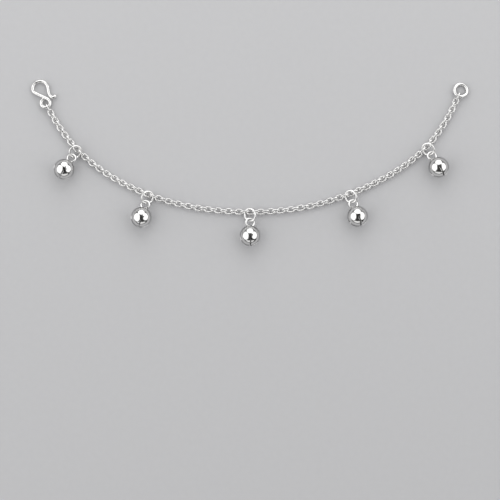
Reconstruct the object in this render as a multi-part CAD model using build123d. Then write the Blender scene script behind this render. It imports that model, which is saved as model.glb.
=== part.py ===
"""Payal anklet of polished silver, lying open on a flat surface.

A cable chain carries five round jingle bells on jump rings. An S-hook is linked into its first
end and a plain closed ring into its last. Millimetres and degrees; +Z is up, +X runs from the
hook to the end ring, and the surface that the anklet lies on is Z = 0.
"""
from build123d import *
from collections import namedtuple
from math import atan2, cos, degrees, radians, sin, sqrt
import os

# ---- chain ------------------------------------------------------------------------------------
link_length = 4.26          # outside length of a link
link_width = 3.15           # outside width of a link
link_wire = 0.76            # wire diameter of every link
end_link_length = 4.98      # the first and last links are longer, to take the hook and the ring
end_link_width = 3.60
end_link_pitch = 2.85       # from an end link's middle to the next link's middle
end_link_roll = 88.0        # end links stand on edge
threaded_length = 5.20      # so are the links that the jump rings pass through
threaded_width = 3.60
threaded_pitch = 2.95       # from a threaded link's middle to the next link's middle
threaded_roll = 75.0
crossed_roll = -20.0        # beside it, the flat link that a jump ring lies over leans away
chain_height = 1.49         # height of the chain's middle line above the surface
flat_roll = -4.0            # odd links lie nearly flat
edge_roll = 61.0            # even links stand nearly on edge
roll_wander = 4.0           # how far the roll of the even links wanders along the chain
slack_links = 7             # links at each end of the chain that lean over further
slack_lean = 11.0           # how much further they lean

# The chain's route in plan. A row with a link number is where that link's middle lies; the other
# rows only shape the curve, and the links between two numbered rows are evenly spaced.
RoutePoint = namedtuple("RoutePoint", "link x y")
route = [
    RoutePoint(1, -99.3, 24.8),
    RoutePoint(None, -94.6, 17.1),
    RoutePoint(11, -86.45, 6.85),
    RoutePoint(None, -70.9, -5.9),
    RoutePoint(29, -50.95, -15.9),
    RoutePoint(None, -25.8, -22.7),
    RoutePoint(49, 0.45, -24.7),
    RoutePoint(None, 25.8, -22.6),
    RoutePoint(69, 50.25, -15.55),
    RoutePoint(None, 71.6, -5.2),
    RoutePoint(89, 88.5, 8.1),
    RoutePoint(None, 96.4, 18.5),
    RoutePoint(101, 102.85, 30.5),
]

# ---- jump rings and bells ---------------------------------------------------------------------
ring_radius = 3.10          # jump ring, to the middle of its wire
ring_wire = 1.00
ring_tilt = 32.0            # the jump ring's plane is turned this far about the bell's heading
ring_dip = 8.0              # and its bell end points down by this much
ring_height = 3.12          # of its centre above the surface
ring_offset = 1.40          # from the chain's middle line to the ring's centre, in plan
ring_shift = 0.35           # from its flat link's middle towards the link it passes through
ball_radius = 5.05          # outside of the bell's ball
ball_wall = 0.50
ring_to_ball = 10.40        # from the ring's centre to the ball's centre, in plan
bell_dip = 16.0             # the loop end of the bell's axis points down by this much
loop_wire = 1.02
loop_radius = 2.12          # the loop, to the middle of its wire
loop_reach = 1.75           # from the ring's centre to the top of the loop's wire, in plan
loop_roll = 18.0            # the loop is soldered on turned this far against its jump ring's tilt
slit_width = 0.65
slit_start = 0.44           # from the ball's equator to the wide end of each slit
slit_head_width = 2.20      # each slit opens to this width near the equator
slit_head_length = 1.95

# Which flat link each bell hangs beside, where the bell points in plan (degrees from +X), and on
# which side of that heading its jump ring stands up: +1 is the left side, -1 the right. On the
# other, low side the ring passes through the next link, which stands on edge. The bell has rolled
# a few degrees about its own axis, so its uppermost slit lies a little to the left.
BellPlace = namedtuple("BellPlace", "link heading high_side slit_turn")
bell_places = [
    BellPlace(11, -122.3, -1, 5.0),
    BellPlace(29, -107.2, -1, 5.0),
    BellPlace(49, -90.0, 1, 5.5),
    BellPlace(69, -71.2, 1, 6.5),
    BellPlace(89, -60.2, 1, 7.0),
]

# ---- S-hook -----------------------------------------------------------------------------------
hook_wire = 1.60
eye_radius = 2.25           # the eye, to the middle of its wire
eye_tangent = 64.5          # where the shank leaves the eye, degrees round the eye
eye_end = 105.0             # where the wire's end runs into the shank
hook_tip_radius = 0.93      # rounded end of the hook's open leg
eye_gap = 2.80              # from the eye's centre to the first link's middle
# Corners of the hook's wire seen from above, from the shank round the bight to the open tip,
# measured from the eye's centre, and the bend radius at each corner.
HookCorner = namedtuple("HookCorner", "x y bend")
hook_corners = [
    HookCorner(-6.50, 5.59, 2.50),
    HookCorner(-6.50, 10.92, 3.72),
    HookCorner(0.55, 10.92, 3.72),
    HookCorner(1.67, 4.47, 4.00),
    HookCorner(3.70, 2.30, 1.10),
]
hook_tip = (4.65, 3.42)

# ---- end ring ---------------------------------------------------------------------------------
end_ring_radius = 3.15      # to the middle of its wire
end_ring_wire = 1.55
end_ring_gap = 3.35         # from the ring's centre to the last link's middle

floor_gap = 0.02            # the upright links and the end ring just clear the surface
up = Vector(0, 0, 1)


def wire_along(path, diameter):
    """A round wire that follows a path."""
    section = Plane(origin=path @ 0, z_dir=path % 0) * Circle(diameter / 2)
    return sweep(section, path=path)


# ---- chain ------------------------------------------------------------------------------------
def link_shape(length, width):
    """One oval link, lying flat at the origin with its length along X."""
    bend = (width - link_wire) / 2
    straight = (length - width) / 2
    path = Wire([
        Line((-straight, -bend), (straight, -bend)).edge(),
        CenterArc((straight, 0), bend, -90, 180).edge(),
        Line((straight, bend), (-straight, bend)).edge(),
        CenterArc((-straight, 0), bend, 90, 180).edge(),
    ])
    return wire_along(path, link_wire)


chain_line = Spline(*[(point.x, point.y, chain_height) for point in route])
start_point, *later_points = [point for point in route if point.link is not None]
marks = [(start_point.link, 0.0)]
for point in later_points:
    share = chain_line.param_at_point(Vector(point.x, point.y, chain_height))
    marks.append((point.link, chain_line.trim(0, share).length))
first_inner_link = marks[0][0]
last_inner_link = marks[-1][0]
last_link = last_inner_link + 1
crossed_links = [place.link for place in bell_places]
threaded_links = [place.link - place.high_side for place in bell_places]


def route_distance(number):
    """How far along the chain's line a link's middle lies."""
    for (low, start), (high, end) in zip(marks, marks[1:]):
        if number <= high:
            wide = [step in threaded_links or step + 1 in threaded_links for step in range(low, high)]
            pitch = (end - start - wide.count(True) * threaded_pitch) / wide.count(False)
            return start + sum(threaded_pitch if step else pitch for step in wide[:number - low])


def link_middle(number):
    """The middle of a link and the chain's direction there."""
    inner = min(max(number, first_inner_link), last_inner_link)
    distance = route_distance(inner)
    direction = chain_line.tangent_at(distance, PositionMode.LENGTH)
    middle = chain_line.position_at(distance, PositionMode.LENGTH)
    middle += direction * (number - inner) * end_link_pitch
    if number != inner:
        return Vector(middle.X, middle.Y, end_link_width / 2 + floor_gap), direction
    if number in threaded_links:
        half_height = (threaded_width - link_wire) / 2 * sin(radians(threaded_roll)) + link_wire / 2
        return Vector(middle.X, middle.Y, half_height + floor_gap), direction
    return middle, direction


def link_roll(number):
    """The angle that a link's width leans over from flat."""
    if number in (0, last_link):
        return end_link_roll
    if number in threaded_links:
        return threaded_roll
    if number in crossed_links:
        return crossed_roll
    from_end = min(number, last_link - number)
    lean = slack_lean * max(0.0, 1 - from_end / slack_links)
    if number % 2:
        return flat_roll - lean
    return edge_roll - lean + roll_wander * sin(0.9 * number)


def tilted_plane(origin, along, roll):
    """A plane whose X runs along a direction and whose width leans over by an angle."""
    level = up.cross(along).normalized()
    width = level * cos(radians(roll)) + along.cross(level) * sin(radians(roll))
    return Plane(origin=origin, x_dir=along, z_dir=along.cross(width))


def make_chain():
    plain_link = link_shape(link_length, link_width)
    shapes = {0: link_shape(end_link_length, end_link_width)}
    shapes[last_link] = shapes[0]
    threaded_link = link_shape(threaded_length, threaded_width)
    for number in threaded_links:
        shapes[number] = threaded_link
    links = []
    for number in range(last_link + 1):
        middle, direction = link_middle(number)
        plane = tilted_plane(middle, direction, link_roll(number))
        links.append(plane * shapes.get(number, plain_link))
    return links


# ---- jump rings and bells ---------------------------------------------------------------------
def heading_vector(angle):
    return Vector(cos(radians(angle)), sin(radians(angle)), 0)


def ring_centre(place):
    middle, direction = link_middle(place.link)
    centre = middle + heading_vector(place.heading) * ring_offset
    centre -= direction * ring_shift * place.high_side
    return Vector(centre.X, centre.Y, ring_height)


def make_jump_ring(place):
    """A ring that lies over a flat link and passes through the upright link beside it."""
    dip = radians(ring_dip)
    along = heading_vector(place.heading) * cos(dip) - up * sin(dip)
    plane = tilted_plane(ring_centre(place), along, ring_tilt * place.high_side)
    return plane * Torus(ring_radius, ring_wire / 2)


def ball_shape(radius):
    """A sphere whose poles lie between the slits, where nothing else is cut or joined."""
    return Sphere(radius).rotate(Axis.Y, 60).rotate(Axis.Z, 45)


def slit_cutter():
    """Two opposite slits at once: a flat bar through the ball that widens near the equator."""
    reach = ball_radius + 1
    outline = Polyline(
        (-slit_head_width / 2, -slit_start),
        (slit_head_width / 2, -slit_start),
        (slit_width / 2, -slit_start - slit_head_length),
        (slit_width / 2, -reach),
        (-slit_width / 2, -reach),
        (-slit_width / 2, -slit_start - slit_head_length),
        close=True,
    )
    face = Plane.YZ * make_face(outline)
    return extrude(face, amount=reach, both=True)


def make_bell(place):
    """A hollow ball cut by four slits that cross at its far pole, with the loop soldered on.

    It is made with its axis along Z, loop upwards, and the side that faces up towards X.
    """
    dip = radians(bell_dip)
    loop_top = (ring_to_ball - loop_reach) / cos(dip)
    loop = Torus(loop_radius, loop_wire / 2).rotate(Axis.Y, 90)
    loop = Pos(0, 0, loop_top - loop_radius) * loop
    loop = loop.rotate(Axis.Z, loop_roll * place.high_side)

    bell = ball_shape(ball_radius) + loop
    bell -= ball_shape(ball_radius - ball_wall)
    cutter = slit_cutter().rotate(Axis.Z, place.slit_turn)
    bell -= cutter
    bell -= cutter.rotate(Axis.Z, 90)

    outward = heading_vector(place.heading)
    axis = outward * -cos(dip) - up * sin(dip)
    front = up * cos(dip) - outward * sin(dip)
    middle = ring_centre(place) + outward * ring_to_ball
    centre = Vector(middle.X, middle.Y, ball_radius)
    return Plane(origin=centre, x_dir=front, z_dir=axis) * bell


# ---- S-hook and end ring ----------------------------------------------------------------------
def make_hook():
    """The clasp: eye, shank, bight and open leg bent from one wire.

    The bight lies on the surface and the eye is lifted by the first link, which it passes
    through.
    """
    tangent = (eye_radius * cos(radians(eye_tangent)), eye_radius * sin(radians(eye_tangent)))
    eye_half = CenterArc((0, 0), eye_radius, eye_tangent - 180, 180)
    eye_rest = CenterArc((0, 0), eye_radius, eye_end, eye_tangent + 180 - eye_end)
    corners = [(corner.x, corner.y) for corner in hook_corners]
    bends = [corner.bend for corner in hook_corners]
    body = FilletPolyline(tangent, *corners, hook_tip, radius=bends)
    hook = wire_along(Wire(eye_half.edges() + body.edges()), hook_wire)
    hook += wire_along(eye_rest, hook_wire)
    hook += Pos(*hook_tip, 0) * Sphere(hook_tip_radius)

    first_middle, direction = link_middle(0)
    bight_distance = max(corner.y for corner in hook_corners)
    rise = first_middle.Z - hook_wire / 2
    lift = degrees(atan2(rise, bight_distance + eye_radius))
    bight = Axis((0, bight_distance, 0), (1, 0, 0))
    hook = hook.rotate(bight, -lift)
    eye_centre = first_middle - direction * eye_gap
    return Pos(eye_centre.X, eye_centre.Y, hook_wire / 2) * hook


def make_end_ring():
    """A plain ring lifted at one side by the last link, its far side on the surface."""
    last_middle, direction = link_middle(last_link)
    half_span = end_ring_radius
    low = end_ring_wire / 2 + floor_gap
    rise = last_middle.Z - low
    slope = degrees(atan2(rise, sqrt((2 * half_span) ** 2 - rise ** 2)))
    centre = last_middle + direction * end_ring_gap
    level = up.cross(direction).normalized()
    along = direction.rotate(Axis((0, 0, 0), level), slope)
    plane = Plane(origin=(centre.X, centre.Y, low + rise / 2), x_dir=along, z_dir=along.cross(level))
    return plane * Torus(end_ring_radius, end_ring_wire / 2)


# ---- assembly ---------------------------------------------------------------------------------
def build_anklet():
    nodes = {"s_hook": make_hook(), "chain": Compound(make_chain()), "end_ring": make_end_ring()}
    for count, place in enumerate(bell_places, start=1):
        nodes[f"jump_ring_{count}"] = make_jump_ring(place)
        nodes[f"bell_{count}"] = make_bell(place)
    return nodes


anklet = build_anklet()
box = Compound(list(anklet.values())).bounding_box()
to_origin = Pos(-box.center().X, -box.center().Y, -box.min.Z)

os.makedirs("parts", exist_ok=True)
for name, shape in anklet.items():
    export_step(to_origin * shape, f"parts/{name}.step")

print("size", box.size, "moved by", to_origin.position)
print("eye of the hook and hole of the end ring are at", [
    to_origin.position + link_middle(0)[0] - link_middle(0)[1] * eye_gap,
    to_origin.position + link_middle(last_link)[0] + link_middle(last_link)[1] * end_ring_gap,
])
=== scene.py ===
# %% [markdown]
# # A payal anklet of polished silver
#
# A payal is an Indian anklet that jingles. This one lies open: a cable chain with an S-hook at one
# end and a plain ring at the other, and five round bells that hang from jump rings. The anklet was
# drawn as solids first. This file dresses those solids: it models every piece again with soft
# edges and true curves, gives the silver its finish, and sets up a small studio round it.
#
# Everything is in metres, in the frame of the solids, so a piece is placed by asking where its
# solid lies.

# %% Load the solids
from collections import namedtuple
from math import asin, atan2, cos, pi, radians, sin, tan

import bmesh
import bpy
import numpy as np
from mathutils import Matrix, Vector


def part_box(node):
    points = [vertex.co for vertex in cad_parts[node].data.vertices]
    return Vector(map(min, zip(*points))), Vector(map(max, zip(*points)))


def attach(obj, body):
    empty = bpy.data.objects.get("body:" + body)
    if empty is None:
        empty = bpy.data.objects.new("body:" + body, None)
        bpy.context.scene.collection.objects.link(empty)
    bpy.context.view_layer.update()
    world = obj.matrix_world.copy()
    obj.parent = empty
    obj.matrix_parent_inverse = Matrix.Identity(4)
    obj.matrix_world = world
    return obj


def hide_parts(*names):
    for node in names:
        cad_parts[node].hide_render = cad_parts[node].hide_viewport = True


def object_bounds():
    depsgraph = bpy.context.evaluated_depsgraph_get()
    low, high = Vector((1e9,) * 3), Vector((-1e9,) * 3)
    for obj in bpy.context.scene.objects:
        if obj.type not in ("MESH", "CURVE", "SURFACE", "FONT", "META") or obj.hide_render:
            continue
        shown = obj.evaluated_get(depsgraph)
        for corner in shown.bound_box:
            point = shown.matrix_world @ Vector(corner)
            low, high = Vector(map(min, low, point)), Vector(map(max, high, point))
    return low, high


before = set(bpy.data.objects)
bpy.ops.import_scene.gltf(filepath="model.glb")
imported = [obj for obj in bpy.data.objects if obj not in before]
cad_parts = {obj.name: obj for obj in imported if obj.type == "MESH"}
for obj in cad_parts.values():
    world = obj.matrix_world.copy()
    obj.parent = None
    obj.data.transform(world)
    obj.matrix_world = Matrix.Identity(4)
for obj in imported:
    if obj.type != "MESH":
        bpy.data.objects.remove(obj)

solids_low, solids_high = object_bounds()
mm = 0.001
up = Vector((0, 0, 1))
solids_size = [round(side / mm, 2) for side in solids_high - solids_low]
print("solids:", len(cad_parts), "nodes,", solids_size, "mm")

# %% [markdown]
# ## Working habits
#
# An operator works on all that is selected, and the solids are selected when they have loaded.
# Every piece therefore starts with nothing selected. These helpers do that, switch to edit mode
# and back, and select the parts of a mesh that pass a test on their place, as a click or a box
# would do by hand.


# %% Helpers for selecting
def select_only(*pieces):
    """Selects these objects and nothing else. The first one becomes the active one."""
    bpy.ops.object.select_all(action="DESELECT")
    for piece in pieces:
        piece.select_set(True)
    bpy.context.view_layer.objects.active = pieces[0] if pieces else None


def edit(piece, kind="VERT"):
    """Opens a piece in edit mode, with all of it selected."""
    select_only(piece)
    bpy.ops.object.mode_set(mode="EDIT")
    bpy.ops.mesh.select_mode(type=kind)
    bpy.ops.mesh.select_all(action="SELECT")


def done():
    bpy.ops.object.mode_set(mode="OBJECT")


def select_faces(piece, passes):
    """In edit mode, selects the faces whose middle passes a test."""
    bpy.ops.mesh.select_all(action="DESELECT")
    shape = bmesh.from_edit_mesh(piece.data)
    for face in shape.faces:
        if passes(face.calc_center_median()):
            face.select_set(True)
    bmesh.update_edit_mesh(piece.data)


# %% [markdown]
# ## Checking a mesh
#
# Silver shows every mistake in a mesh, because it mirrors. A closed mesh has two faces at every
# edge, so counting the edges that have any other number tells whether a piece is sound.


# %% Helpers for finishing a piece
weld_gap = 0.001 * mm
smooth_below = radians(40)


def report(piece):
    """Prints how many faces a piece has and how many of its edges aren't closed."""
    shape = bmesh.new()
    shape.from_mesh(piece.data)
    open_edges = sum(len(edge.link_faces) != 2 for edge in shape.edges)
    print(f"{piece.name}: {len(shape.faces)} faces, {open_edges} open edges")
    shape.free()


def apply_modifiers(piece):
    select_only(piece)
    for modifier in list(piece.modifiers):
        bpy.ops.object.modifier_apply(modifier=modifier.name)


def put(piece, matrix):
    """Moves a piece to its place and writes the place into its mesh."""
    piece.matrix_world = matrix
    select_only(piece)
    bpy.ops.object.transform_apply(location=True, rotation=True, scale=True)


def copy_of(piece, name):
    """A copy with a mesh of its own."""
    select_only(piece)
    bpy.ops.object.duplicate(linked=False)
    copy = bpy.context.active_object
    copy.name = name
    return copy


def smooth(piece):
    """Shades a piece smoothly over every edge but the sharp ones."""
    select_only(piece)
    bpy.ops.object.shade_smooth_by_angle(angle=smooth_below)


# %% [markdown]
# ## Where the solids lie
#
# The chain is one node of loose links, and each ring is a node of its own. A link's place could
# be worked out again from the curve that the chain follows. It is surer to read it off the solid:
# its middle and its longest, middle and thinnest directions come from how the surface spreads.


# %% Read places off the solids
Place = namedtuple("Place", "matrix length")


def read_place(piece):
    """Where one solid lies: X along its length, Z across its thinnest direction."""
    points = np.array([vertex.co for vertex in piece.data.vertices])
    piece.data.calc_loop_triangles()
    corners = points[np.array([list(triangle.vertices) for triangle in piece.data.loop_triangles])]
    sides = corners[:, 1:] - corners[:, :1]
    areas = np.linalg.norm(np.cross(sides[:, 0], sides[:, 1]), axis=1) / 2
    middle = np.average(corners.mean(axis=1), axis=0, weights=areas)
    arms = corners - middle
    sums = arms.sum(axis=1)
    spread = np.einsum("t,tci,tcj->ij", areas, arms, arms)
    spread = spread + np.einsum("t,ti,tj->ij", areas, sums, sums)
    thin, wide, long = np.linalg.eigh(spread)[1].T
    thin = np.cross(long, wide)
    turn = Matrix([long, wide, thin]).transposed().to_4x4()
    length = np.ptp((points - middle) @ long)
    return Place(Matrix.Translation(Vector(middle)) @ turn, length)


def read_loose_places(node):
    """The place of every loose solid in a node, from the hook's end to the ring's."""
    copy = copy_of(node, "reading")
    edit(copy)
    bpy.ops.mesh.remove_doubles(threshold=weld_gap)
    bpy.ops.mesh.separate(type="LOOSE")
    done()
    loose = list(bpy.context.selected_objects)
    places = [read_place(piece) for piece in loose]
    places.sort(key=lambda place: place.matrix.translation.x)
    select_only(*loose)
    bpy.ops.object.delete()
    return places


link_places = read_loose_places(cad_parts["chain"])
print(len(link_places), "links,", round(link_places[1].length / mm, 2), "mm long")

# %% [markdown]
# ## Drawing wire
#
# Chain, rings, loops and hook are all round wire. A smith draws the wire straight and bends it
# round a form. The same two moves make it here: the circle at the wire's end is extruded for a
# straight run, and spun round a centre for a bend. A curve with a round bevel would be quicker,
# but it gives no hold on where the bends begin.


# %% The two moves of a wire
def start_wire(name, diameter, at, heading, sides):
    """The circle at a wire's start, open in edit mode and selected."""
    select_only()
    turn = Vector(heading).to_track_quat("Z", "Y").to_euler()
    bpy.ops.mesh.primitive_circle_add(
        vertices=sides, radius=diameter / 2, fill_type="NOTHING", location=at, rotation=turn)
    wire = bpy.context.active_object
    wire.name = name
    bpy.ops.object.transform_apply(location=True, rotation=True, scale=True)
    edit(wire)
    return wire


def run(move):
    bpy.ops.mesh.extrude_region_move(TRANSFORM_OT_translate={"value": tuple(move)})


def bend(centre, angle, steps):
    """A bend in the flat, counterclockwise seen from above. Spin counts its angle the other way."""
    bpy.ops.mesh.spin(steps=steps, angle=-angle, center=tuple(centre), axis=(0, 0, 1))


def close_wire(wire):
    """Welds a wire's end to its start, or caps both ends if they are apart."""
    bpy.ops.mesh.select_all(action="SELECT")
    bpy.ops.mesh.remove_doubles(threshold=weld_gap)
    bpy.ops.mesh.fill_holes(sides=0)
    bpy.ops.mesh.select_all(action="SELECT")
    bpy.ops.mesh.normals_make_consistent(inside=False)
    done()


# %% [markdown]
# ## The chain
#
# Cable chain is made of oval links, each turned a quarter against the next. All are the same
# wire. The links at the two ends are longer, to take the hook and the ring, and so are the five
# that the jump rings pass through. One link of each length is bent from wire, with two straight
# sides and two half turns, and then copied to every place that was read off the solid.

# %% Bend one link of each length
LinkSize = namedtuple("LinkSize", "length width")
link_wire = 0.76 * mm
link_sides, link_bend_steps = 10, 12
link_sizes = [
    LinkSize(4.26 * mm, 3.15 * mm),
    LinkSize(4.98 * mm, 3.60 * mm),
    LinkSize(5.20 * mm, 3.60 * mm),
]


def make_link(size):
    half_turn = (size.width - link_wire) / 2
    half_side = (size.length - size.width) / 2
    link = start_wire("link", link_wire, (-half_side, -half_turn, 0), (1, 0, 0), link_sides)
    run((2 * half_side, 0, 0))
    bend((half_side, 0, 0), pi, link_bend_steps)
    run((-2 * half_side, 0, 0))
    bend((-half_side, 0, 0), pi, link_bend_steps)
    close_wire(link)
    return link


link_shapes = [make_link(size) for size in link_sizes]
for link in link_shapes:
    report(link)

# %% [markdown]
# Each link of the chain is a copy, turned and moved to where its solid lies. The solid's own axes
# say how it is turned: a link is longest along the chain and thinnest through its wire. All the
# copies are then joined, because the chain is one piece to whoever picks it up.


# %% Lay the links
def fitting_link(length):
    """The modelled link whose length is nearest to a solid's."""
    misses = [abs(size.length - length) for size in link_sizes]
    return link_shapes[misses.index(min(misses))]


links = []
for place in link_places:
    link = copy_of(fitting_link(place.length), "link")
    put(link, place.matrix)
    links.append(link)
select_only(*links)
bpy.ops.object.join()
chain = bpy.context.active_object
chain.name = "silver_chain"
smooth(chain)
report(chain)
for link in link_shapes:
    bpy.data.objects.remove(link)

# %% [markdown]
# ## Rings
#
# A ring is wire bent through a full turn. The two ends are soldered and filed flush, which leaves
# the wire a hair thinner at the joint. The joint is turned to the side where a smith would hide
# it. The five jump rings carry the bells, and the thicker end ring takes the hook.


# %% Bend the rings
end_ring_wire, end_ring_radius = 1.55 * mm, 3.15 * mm
jump_ring_wire, jump_ring_radius = 1.00 * mm, 3.10 * mm
bell_numbers = range(1, 6)


def make_ring(name, radius, wire, sides=20, steps=72, filed=0.985):
    """A closed ring that lies flat at the origin, its soldered joint on the +X side."""
    ring = start_wire(name, wire, (radius, 0, 0), (0, 1, 0), sides)
    bend((0, 0, 0), 2 * pi, steps)
    close_wire(ring)
    edit(ring)
    select_faces(ring, lambda middle: middle.x > 0 and abs(middle.y) < radius * tan(pi / steps))
    bpy.ops.transform.resize(value=(filed, 1, filed), center_override=(radius, 0, 0))
    done()
    smooth(ring)
    return ring


def lay_ring(node, radius, wire, joint_towards):
    """A new ring where the solid ring of that name lies, its joint turned towards a point."""
    place = read_place(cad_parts[node]).matrix
    middle, across = place.translation, place.col[2].to_3d()
    ahead = joint_towards - middle
    ahead = (ahead - across * ahead.dot(across)).normalized()
    turn = Matrix([ahead, across.cross(ahead), across]).transposed().to_4x4()
    ring = make_ring("silver_" + node, radius, wire)
    put(ring, Matrix.Translation(middle) @ turn)
    return ring


def box_middle(node):
    low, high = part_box(node)
    return (low + high) / 2


last_link = link_places[-1].matrix.translation
end_ring = lay_ring("end_ring", end_ring_radius, end_ring_wire, last_link)
jump_rings = [
    lay_ring(f"jump_ring_{number}", jump_ring_radius, jump_ring_wire, box_middle(f"bell_{number}"))
    for number in bell_numbers
]
for ring in [end_ring, *jump_rings]:
    report(ring)

# %% [markdown]
# ## The S-hook
#
# One piece of thicker wire makes the clasp. It starts in an eye that is closed round the first
# link, leaves it in a straight shank, turns back in a wide bight and ends in an open leg with a
# rounded tip. The corners below are where its straight runs would meet if they weren't bent, and
# `bend_corner` turns each into a run and a bend. They are in millimetres from the eye's middle.

# %% Bend the hook
Corner = namedtuple("Corner", "x y bend")
hook_wire = 1.60 * mm
eye_radius = 2.25 * mm
eye_start, eye_leave = radians(105), radians(64.5)
hook_corners = [
    Corner(-6.50, 5.59, 2.50),
    Corner(-6.50, 10.92, 3.72),
    Corner(0.55, 10.92, 3.72),
    Corner(1.67, 4.47, 4.00),
    Corner(3.70, 2.30, 1.10),
]
hook_tip = Vector((4.65, 3.42, 0)) * mm
tip_radius = 0.93 * mm
step_angle = radians(8)


def bend_corner(at, corner, after, radius):
    """From where the wire is, a straight run to a corner and the bend round it. Gives the new end."""
    arriving, leaving = (corner - at).normalized(), (after - corner).normalized()
    turn = atan2(arriving.cross(leaving).z, arriving.dot(leaving))
    reach = radius * tan(abs(turn) / 2)
    begin = corner - arriving * reach
    side = up.cross(arriving) * (1 if turn > 0 else -1)
    run(begin - at)
    bend(begin + side * radius, turn, steps=max(4, round(abs(turn) / step_angle)))
    return corner + leaving * reach


def make_hook():
    start = Vector((cos(eye_start), sin(eye_start), 0)) * eye_radius
    hook = start_wire("silver_s_hook", hook_wire, start, up.cross(start), sides=24)
    bend((0, 0, 0), 2 * pi - eye_start + eye_leave, steps=44)
    at = Vector((cos(eye_leave), sin(eye_leave), 0)) * eye_radius
    points = [Vector((corner.x, corner.y, 0)) * mm for corner in hook_corners] + [hook_tip]
    for corner, point, after in zip(hook_corners, points, points[1:]):
        at = bend_corner(at, point, after, corner.bend * mm)
    run(hook_tip - at)
    close_wire(hook)
    return hook


s_hook = make_hook()
report(s_hook)

# %% [markdown]
# The open leg ends in a small ball, melted on so that it doesn't snag. It is a sphere with its
# poles along the wire. A boolean joins it, and in the same step it welds the eye's end to the
# shank, where the wire runs into itself.


# %% Join the tip and weld the eye
def add_ball(name, radius, at, segments, rings, scale=(1, 1, 1)):
    select_only()
    bpy.ops.mesh.primitive_uv_sphere_add(
        segments=segments, ring_count=rings, radius=radius, location=at, scale=scale)
    ball = bpy.context.active_object
    ball.name = name
    bpy.ops.object.transform_apply(location=True, rotation=True, scale=True)
    return ball


def combine(piece, other, crosses_itself=False):
    """Joins two meshes into one closed one. The other one is used up."""
    boolean = piece.modifiers.new("join", "BOOLEAN")
    boolean.operation, boolean.object, boolean.solver = "UNION", other, "EXACT"
    boolean.use_self = crosses_itself
    apply_modifiers(piece)
    bpy.data.objects.remove(other)


tip = add_ball("tip", tip_radius, hook_tip, segments=24, rings=16)
combine(s_hook, tip, crosses_itself=True)
smooth(s_hook)
report(s_hook)

# %% [markdown]
# The hook leans: its bight lies on the surface and its eye is lifted by the link that it holds.
# How far follows from the height of its solid, and where it lies from the middle of its box.

# %% Lay the hook
low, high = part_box("s_hook")
bight = max(corner.y for corner in hook_corners) * mm
lean = asin((high.z - low.z - hook_wire) / (bight + eye_radius))
put(s_hook, Matrix.Rotation(-lean, 4, "X"))
corners = [Vector(corner) for corner in s_hook.bound_box]
own_middle = (Vector(map(min, zip(*corners))) + Vector(map(max, zip(*corners)))) / 2
put(s_hook, Matrix.Translation((low + high) / 2 - own_middle))
print("hook leans", round(lean * 180 / pi, 2), "degrees")

# %% [markdown]
# ## The bells
#
# A payal bell is a hollow ball. Four slits run down from near its equator and cross at the bottom,
# and each opens into a wide head at its upper end. They are sawn here as a smith would saw them:
# `bisect` scores the sphere along straight planes, the faces between the scores are lifted out,
# and only then does the shell get its thickness. Scoring leaves points on the flat of a face, so
# a Cast modifier presses them back on to the sphere.

# %% Score and open the slits
ball_radius = 5.05 * mm
ball_wall = 0.50 * mm
slit_half = 0.65 / 2 * mm
head_half = 2.20 / 2 * mm
head_top = -0.44 * mm
head_bottom = head_top - 1.95 * mm
quarter_turn = Matrix.Rotation(pi / 2, 4, "Z")


def slit_half_width(height):
    """Half of a slit's width at a height: nothing above its head, narrower down to its bottom."""
    if height > head_top:
        return 0
    share = min(1, (head_top - height) / (head_top - head_bottom))
    return head_half + (slit_half - head_half) * share


def near_slit(point):
    margin = 0.5 * mm
    return point.z < head_top + margin and min(abs(point.x), abs(point.y)) < head_half + margin


def in_slit(point):
    return min(abs(point.x), abs(point.y)) < slit_half_width(point.z)


def score(ball, through, normal):
    """Cuts new edges into the faces near a slit, where a plane passes through them."""
    for turn in [Matrix(), quarter_turn]:
        select_faces(ball, near_slit)
        bpy.ops.mesh.bisect(plane_co=turn @ through, plane_no=turn @ normal, threshold=weld_gap)


def slit_ball():
    ball = add_ball("ball", ball_radius, (0, 0, 0), segments=96, rings=48)
    edit(ball, "FACE")
    score(ball, Vector((0, 0, head_top)), up)
    for side in [-1, 1]:
        slope = Vector((0, side * (head_top - head_bottom), slit_half - head_half)).normalized()
        score(ball, Vector((0, side * head_half, head_top)), slope)
        score(ball, Vector((0, side * slit_half, 0)), Vector((0, 1, 0)))
    select_faces(ball, in_slit)
    bpy.ops.mesh.delete(type="FACE")
    done()
    return ball


ball = slit_ball()
report(ball)

# %% [markdown]
# The wall is added inwards, so the ball keeps its size. The second material slot is for the
# inside, which no polishing wheel reaches. The sawn lips are then rounded off a little, as the
# drum that polishes the bells rounds them.

# %% Give the ball its wall
lip_round = 0.07 * mm
cast = ball.modifiers.new("press on to the sphere", "CAST")
cast.cast_type = "SPHERE"
cast.factor = 1
cast.use_radius_as_size = False
cast.size = ball_radius
apply_modifiers(ball)

for slot_name in ["outside", "inside"]:
    ball.data.materials.append(bpy.data.materials.new(slot_name))
wall = ball.modifiers.new("wall", "SOLIDIFY")
wall.thickness, wall.offset, wall.material_offset = ball_wall, -1, 1
lips = ball.modifiers.new("lips", "BEVEL")
lips.width, lips.segments = lip_round, 2
lips.limit_method, lips.angle_limit = "ANGLE", radians(50)
apply_modifiers(ball)
report(ball)

# %% [markdown]
# ## The bell's loop
#
# A ring of the same wire as a jump ring is soldered upright on the ball. A little solder fills the
# corner at its foot. The solder is a flattened ball, and both are joined to the ball by booleans.
# The ball is modelled once and copied. Each bell's loop is turned one way or the other, against
# the lean of the jump ring that it hangs from. Each bell has also rolled a little about its own
# axis, so its upper slit lies a few degrees to the left.

# %% Put bells together
loop_wire, loop_radius = 1.02 * mm, 2.12 * mm
loop_middle = 6.88 * mm
loop_turn = radians(18)
solder_size = (0.80, 1.60, 0.42)
solder_middle = 4.98 * mm
bell_dip = radians(16)
slit_turns = [5.0, 5.0, 5.5, 6.5, 7.0]


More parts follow.
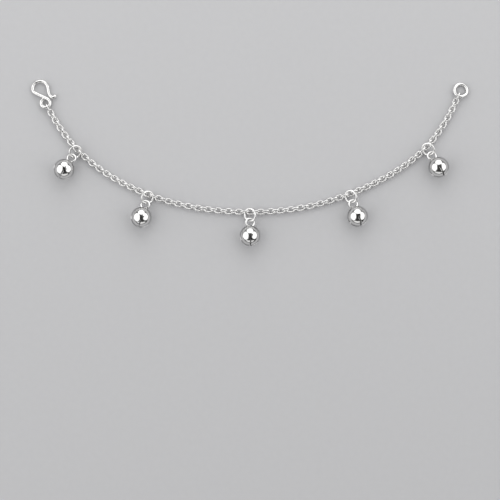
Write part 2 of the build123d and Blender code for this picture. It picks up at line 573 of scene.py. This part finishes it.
def make_bell(name, slit_turn, turn):
    """A bell at the origin, its loop up and its front towards +X."""
    bell = copy_of(ball, name)
    put(bell, Matrix.Rotation(slit_turn, 4, "Z"))
    loop = make_ring("loop", loop_radius, loop_wire, sides=20, steps=56, filed=1)
    stand = Matrix.Rotation(turn, 4, "Z") @ Matrix.Translation((0, 0, loop_middle))
    put(loop, stand @ Matrix.Rotation(pi / 2, 4, "Y"))
    solder = add_ball("solder", 1 * mm, (0, 0, 0), segments=32, rings=16, scale=solder_size)
    put(solder, Matrix.Rotation(turn, 4, "Z") @ Matrix.Translation((0, 0, solder_middle)))
    combine(bell, loop)
    combine(bell, solder)
    smooth(bell)
    return bell


def lay_bell(number, slit_turn):
    """A bell where its solid lies: the ball touches the box on the sides away from its loop."""
    low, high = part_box(f"bell_{number}")
    hold = read_place(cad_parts[f"jump_ring_{number}"]).matrix
    ring_middle = hold.translation
    from_left = (low.x + high.x) / 2 < ring_middle.x
    middle = Vector((low.x + ball_radius if from_left else high.x - ball_radius,
                     low.y + ball_radius, ball_radius))
    outward = (middle - ring_middle) * Vector((1, 1, 0))
    outward.normalize()
    across = hold.col[2].to_3d()
    across *= 1 if across.z > 0 else -1
    ring_lean = -1 if across.dot(up.cross(outward)) > 0 else 1

    axis = -outward * cos(bell_dip) - up * sin(bell_dip)
    front = up * cos(bell_dip) - outward * sin(bell_dip)
    bell = make_bell(f"silver_bell_{number}", radians(slit_turn), ring_lean * loop_turn)
    turn = Matrix([front, axis.cross(front), axis]).transposed().to_4x4()
    put(bell, Matrix.Translation(middle) @ turn)
    return bell


bells = [lay_bell(number, slit_turn) for number, slit_turn in zip(bell_numbers, slit_turns)]
for bell in bells:
    report(bell)
bpy.data.objects.remove(ball)

# %% [markdown]
# ## Writing a finish as sums
#
# A material is a graph of nodes, and long graphs are hard to read as text. `Signal` wraps the
# output of a node, so that `0.1 + 0.05 * cloud` adds the Math nodes by itself. `Finish` holds one
# material, and its `node` method adds any other node.


# %% Signals and finishes
# The Mix node has a pair of sockets for each kind of value. These are its two colours and result.
first_colour, second_colour, mixed_colour = 6, 7, 2


class Signal:
    """A number that changes over a surface. Sums with it add Math nodes."""

    def __init__(self, finish, socket):
        self.finish, self.socket = finish, socket

    def maths(self, operation, first, second):
        return self.finish.node("ShaderNodeMath", {"operation": operation}, {0: first, 1: second})

    def __add__(self, other):
        return self.maths("ADD", self, other)

    def __radd__(self, other):
        return self.maths("ADD", other, self)

    def __mul__(self, other):
        return self.maths("MULTIPLY", self, other)

    def __rmul__(self, other):
        return self.maths("MULTIPLY", other, self)


class Finish:
    """One material and the nodes that it is made of."""

    def __init__(self, name):
        self.material = bpy.data.materials.new(name)
        self.material.use_nodes = True
        self.tree = self.material.node_tree
        self.tree.nodes.clear()

    def node(self, kind, settings=None, inputs=None, output=0):
        """Adds a node, sets it up, fills its sockets, and gives one of its outputs."""
        made = self.tree.nodes.new(kind)
        for name, value in (settings or {}).items():
            setattr(made, name, value)
        for name, value in (inputs or {}).items():
            if isinstance(value, Signal):
                self.tree.links.new(value.socket, made.inputs[name])
            else:
                made.inputs[name].default_value = value
        return Signal(self, made.outputs[output]) if made.outputs else None

    def cloud(self, size, detail, roughness=0.5):
        """Soft noise on the object itself, with blotches of about this size."""
        where = self.node("ShaderNodeTexCoord", output="Object")
        return self.node("ShaderNodeTexNoise", inputs={
            "Vector": where, "Scale": 1 / size, "Detail": detail, "Roughness": roughness})

    def blend(self, share, first, second):
        """A colour between two, by a share from 0 to 1."""
        return self.node("ShaderNodeMix", {"data_type": "RGBA"}, {
            "Factor": share, first_colour: (*first, 1), second_colour: (*second, 1),
        }, output=mixed_colour)

    def bump(self, height, depth):
        """Low relief. The height runs from 0 to 1, and the depth says how much that is."""
        return self.node("ShaderNodeBump", inputs={
            "Height": height, "Distance": depth, "Strength": 1.0})

    def surface(self, **sockets):
        """The shader itself, joined to the material's output."""
        inputs = {name.replace("_", " "): value for name, value in sockets.items()}
        shader = self.node("ShaderNodeBsdfPrincipled", inputs=inputs)
        self.node("ShaderNodeOutputMaterial", inputs={"Surface": shader})
        return self.material


# %% [markdown]
# ## Polished silver
#
# Fresh silver is the whitest metal, with a trace of warmth. A buffing wheel leaves it almost a
# mirror: shallow waves from the hand that held it, faint hairlines, and a breath of haze where it
# was touched. The waves are a low bump, the haze changes the roughness by a few hundredths, and the
# colour hardly changes. Clean metal in a smooth shape does the rest. Where the silver turns away
# from the eye it is made darker than real silver, so that it stands out from a pale floor.


# %% Mix the silver
dark_rim = (0.25, 0.25, 0.26, 1)


def make_silver(name, clean, touched, haze, wave):
    """Haze is the roughness at its cleanest, and wave the depth of the hand's waves."""
    silver = Finish(name)
    touches = silver.cloud(2.6 * mm, detail=3)
    hairlines = silver.cloud(0.25 * mm, detail=4, roughness=0.7)
    waves = silver.cloud(1.8 * mm, detail=1)
    return silver.surface(
        Base_Color=silver.blend(touches, clean, touched),
        Metallic=1.0,
        Specular_Tint=dark_rim,
        Roughness=haze + 0.06 * touches + 0.03 * hairlines,
        Normal=silver.bump(waves + 0.02 * hairlines, wave),
    )


wire_silver = make_silver(
    "polished silver wire", (0.97, 0.965, 0.955), (0.93, 0.922, 0.910), haze=0.20, wave=0.01 * mm)
ball_silver = make_silver(
    "polished silver ball", (0.83, 0.826, 0.818), (0.77, 0.765, 0.756), haze=0.08, wave=0.012 * mm)
print("silver mixed")

# %% [markdown]
# Inside the balls the silver is as the torch left it, dull and blotched with soot. Its colour is also
# made nearly black as painted shade, which keeps the slits dark so that they read as openings.

# %% Mix the inside of the bells
torched_and_shaded = Finish("torched silver in painted shade")
soot = torched_and_shaded.cloud(0.9 * mm, detail=4, roughness=0.6)
torched_and_shaded_silver = torched_and_shaded.surface(
    # The near-black colour is painted shade inside the ball, laid over the dull torch scale.
    Base_Color=torched_and_shaded.blend(soot, (0.020, 0.019, 0.018), (0.060, 0.057, 0.054)),
    Metallic=0.8,
    Roughness=0.5 + 0.25 * soot,
    Normal=torched_and_shaded.bump(soot, 0.02 * mm),
)
print("inside of the bells mixed")

# %% [markdown]
# ## Dressing the pieces
#
# The hook, rings and chain are drawn wire, and the balls are pressed sheet. Both are the same
# silver, but the sheet takes a closer polish. A ball has two finishes, one for each material slot
# that its wall was given: the first outside and the second inside.


# %% Dress the pieces
def dress(piece, node, *materials):
    """Gives a piece its finish and lets it stand for its solid."""
    piece.data.materials.clear()
    for material in materials:
        piece.data.materials.append(material)
    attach(piece, "root")
    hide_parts(node)


dress(chain, "chain", wire_silver)
dress(s_hook, "s_hook", wire_silver)
dress(end_ring, "end_ring", wire_silver)
for number, ring, bell in zip(bell_numbers, jump_rings, bells):
    dress(ring, f"jump_ring_{number}", wire_silver)
    dress(bell, f"bell_{number}", ball_silver, torched_and_shaded_silver)
print(len(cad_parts), "nodes have a dressed piece")

# %% [markdown]
# ## The studio
#
# Silver has no colour of its own to show. What it shows is the room, so the room is laid out for
# it. It begins with the floor, a plain pale sheet of paper that runs on well past the anklet.

# %% Lay the floor
floor_size = 6
select_only()
bpy.ops.mesh.primitive_plane_add(size=floor_size, location=(0, 0, 0))
floor = bpy.context.active_object
floor.name = "floor"
paper = Finish("pale paper")
fibre = paper.cloud(3 * mm, detail=5, roughness=0.6)
floor.data.materials.append(paper.surface(
    Base_Color=paper.blend(fibre, (0.54, 0.54, 0.55), (0.57, 0.57, 0.58)), Roughness=0.9))
print("floor:", floor_size, "m square")

# %% [markdown]
# Three large soft boxes stand at the far side and the two sides and lean in overhead, and a low,
# dimmer one lies at the near side. Thin grey gaps between them part the bright patches on each
# ball, and the darker room at the near side makes the dark patch beside its slit. A wide, faint
# sheet hangs over the same place as the box at the far side, so that the gaps are never black. An
# area light is seen in reflections at its own size and brightness, which a point light is not.

# %% Hang the soft boxes
Lamp = namedtuple("Lamp", "bearing height half_tall half_wide glow")
lamps = [
    Lamp(bearing=90, height=31, half_tall=29, half_wide=31, glow=1.70),
    Lamp(bearing=183, height=38, half_tall=36, half_wide=41, glow=1.35),
    Lamp(bearing=4, height=38, half_tall=35, half_wide=38, glow=1.30),
    Lamp(bearing=-91, height=20, half_tall=12, half_wide=40, glow=0.85),
    Lamp(bearing=90, height=38, half_tall=36, half_wide=64, glow=0.22),
]
lamp_distance = 0.9


def hang(lamp):
    """A round soft box that faces the anklet. Its place and half its size are in degrees."""
    bearing, height = radians(lamp.bearing), radians(lamp.height)
    away = Vector((cos(bearing) * cos(height), sin(bearing) * cos(height), sin(height)))
    facing = away.to_track_quat("Z", "Y").to_euler()
    select_only()
    bpy.ops.object.light_add(type="AREA", location=away * lamp_distance, rotation=facing)
    light = bpy.context.active_object.data
    light.shape = "ELLIPSE"
    light.size = 2 * lamp_distance * tan(radians(lamp.half_wide))
    light.size_y = 2 * lamp_distance * tan(radians(lamp.half_tall))
    area = pi / 4 * light.size * light.size_y
    light.energy = lamp.glow * pi * area


for lamp in lamps:
    hang(lamp)
print(len(lamps), "soft boxes hung")

# %% [markdown]
# The room itself gives a little even light from all round, which reaches under the chain.

# %% Light the room
room_glow = 0.05
world = bpy.data.worlds.new("studio")
bpy.context.scene.world = world
world.use_nodes = True
room = world.node_tree.nodes["Background"]
room.inputs["Color"].default_value = (1, 1, 1, 1)
room.inputs["Strength"].default_value = room_glow
print("room glow:", room_glow)

# %% [markdown]
# ## The camera
#
# The anklet is seen from straight above. A long lens far away keeps the balls at the ends as round
# as those in the middle. The anklet lies in the upper half of the view.

# %% Set up the camera
view_width = 0.250
view_middle = Vector((0.0001, -0.0436, 0))
lens, sensor = 200, 36
distance = view_width * lens / sensor
bpy.ops.object.camera_add(location=view_middle + up * distance)
camera = bpy.context.active_object
camera.data.lens, camera.data.sensor_width = lens, sensor
camera.data.clip_start, camera.data.clip_end = 0.01, 20
bpy.context.scene.camera = camera
bpy.context.scene.view_settings.view_transform = "Standard"
print("camera:", round(distance, 3), "m above the floor")
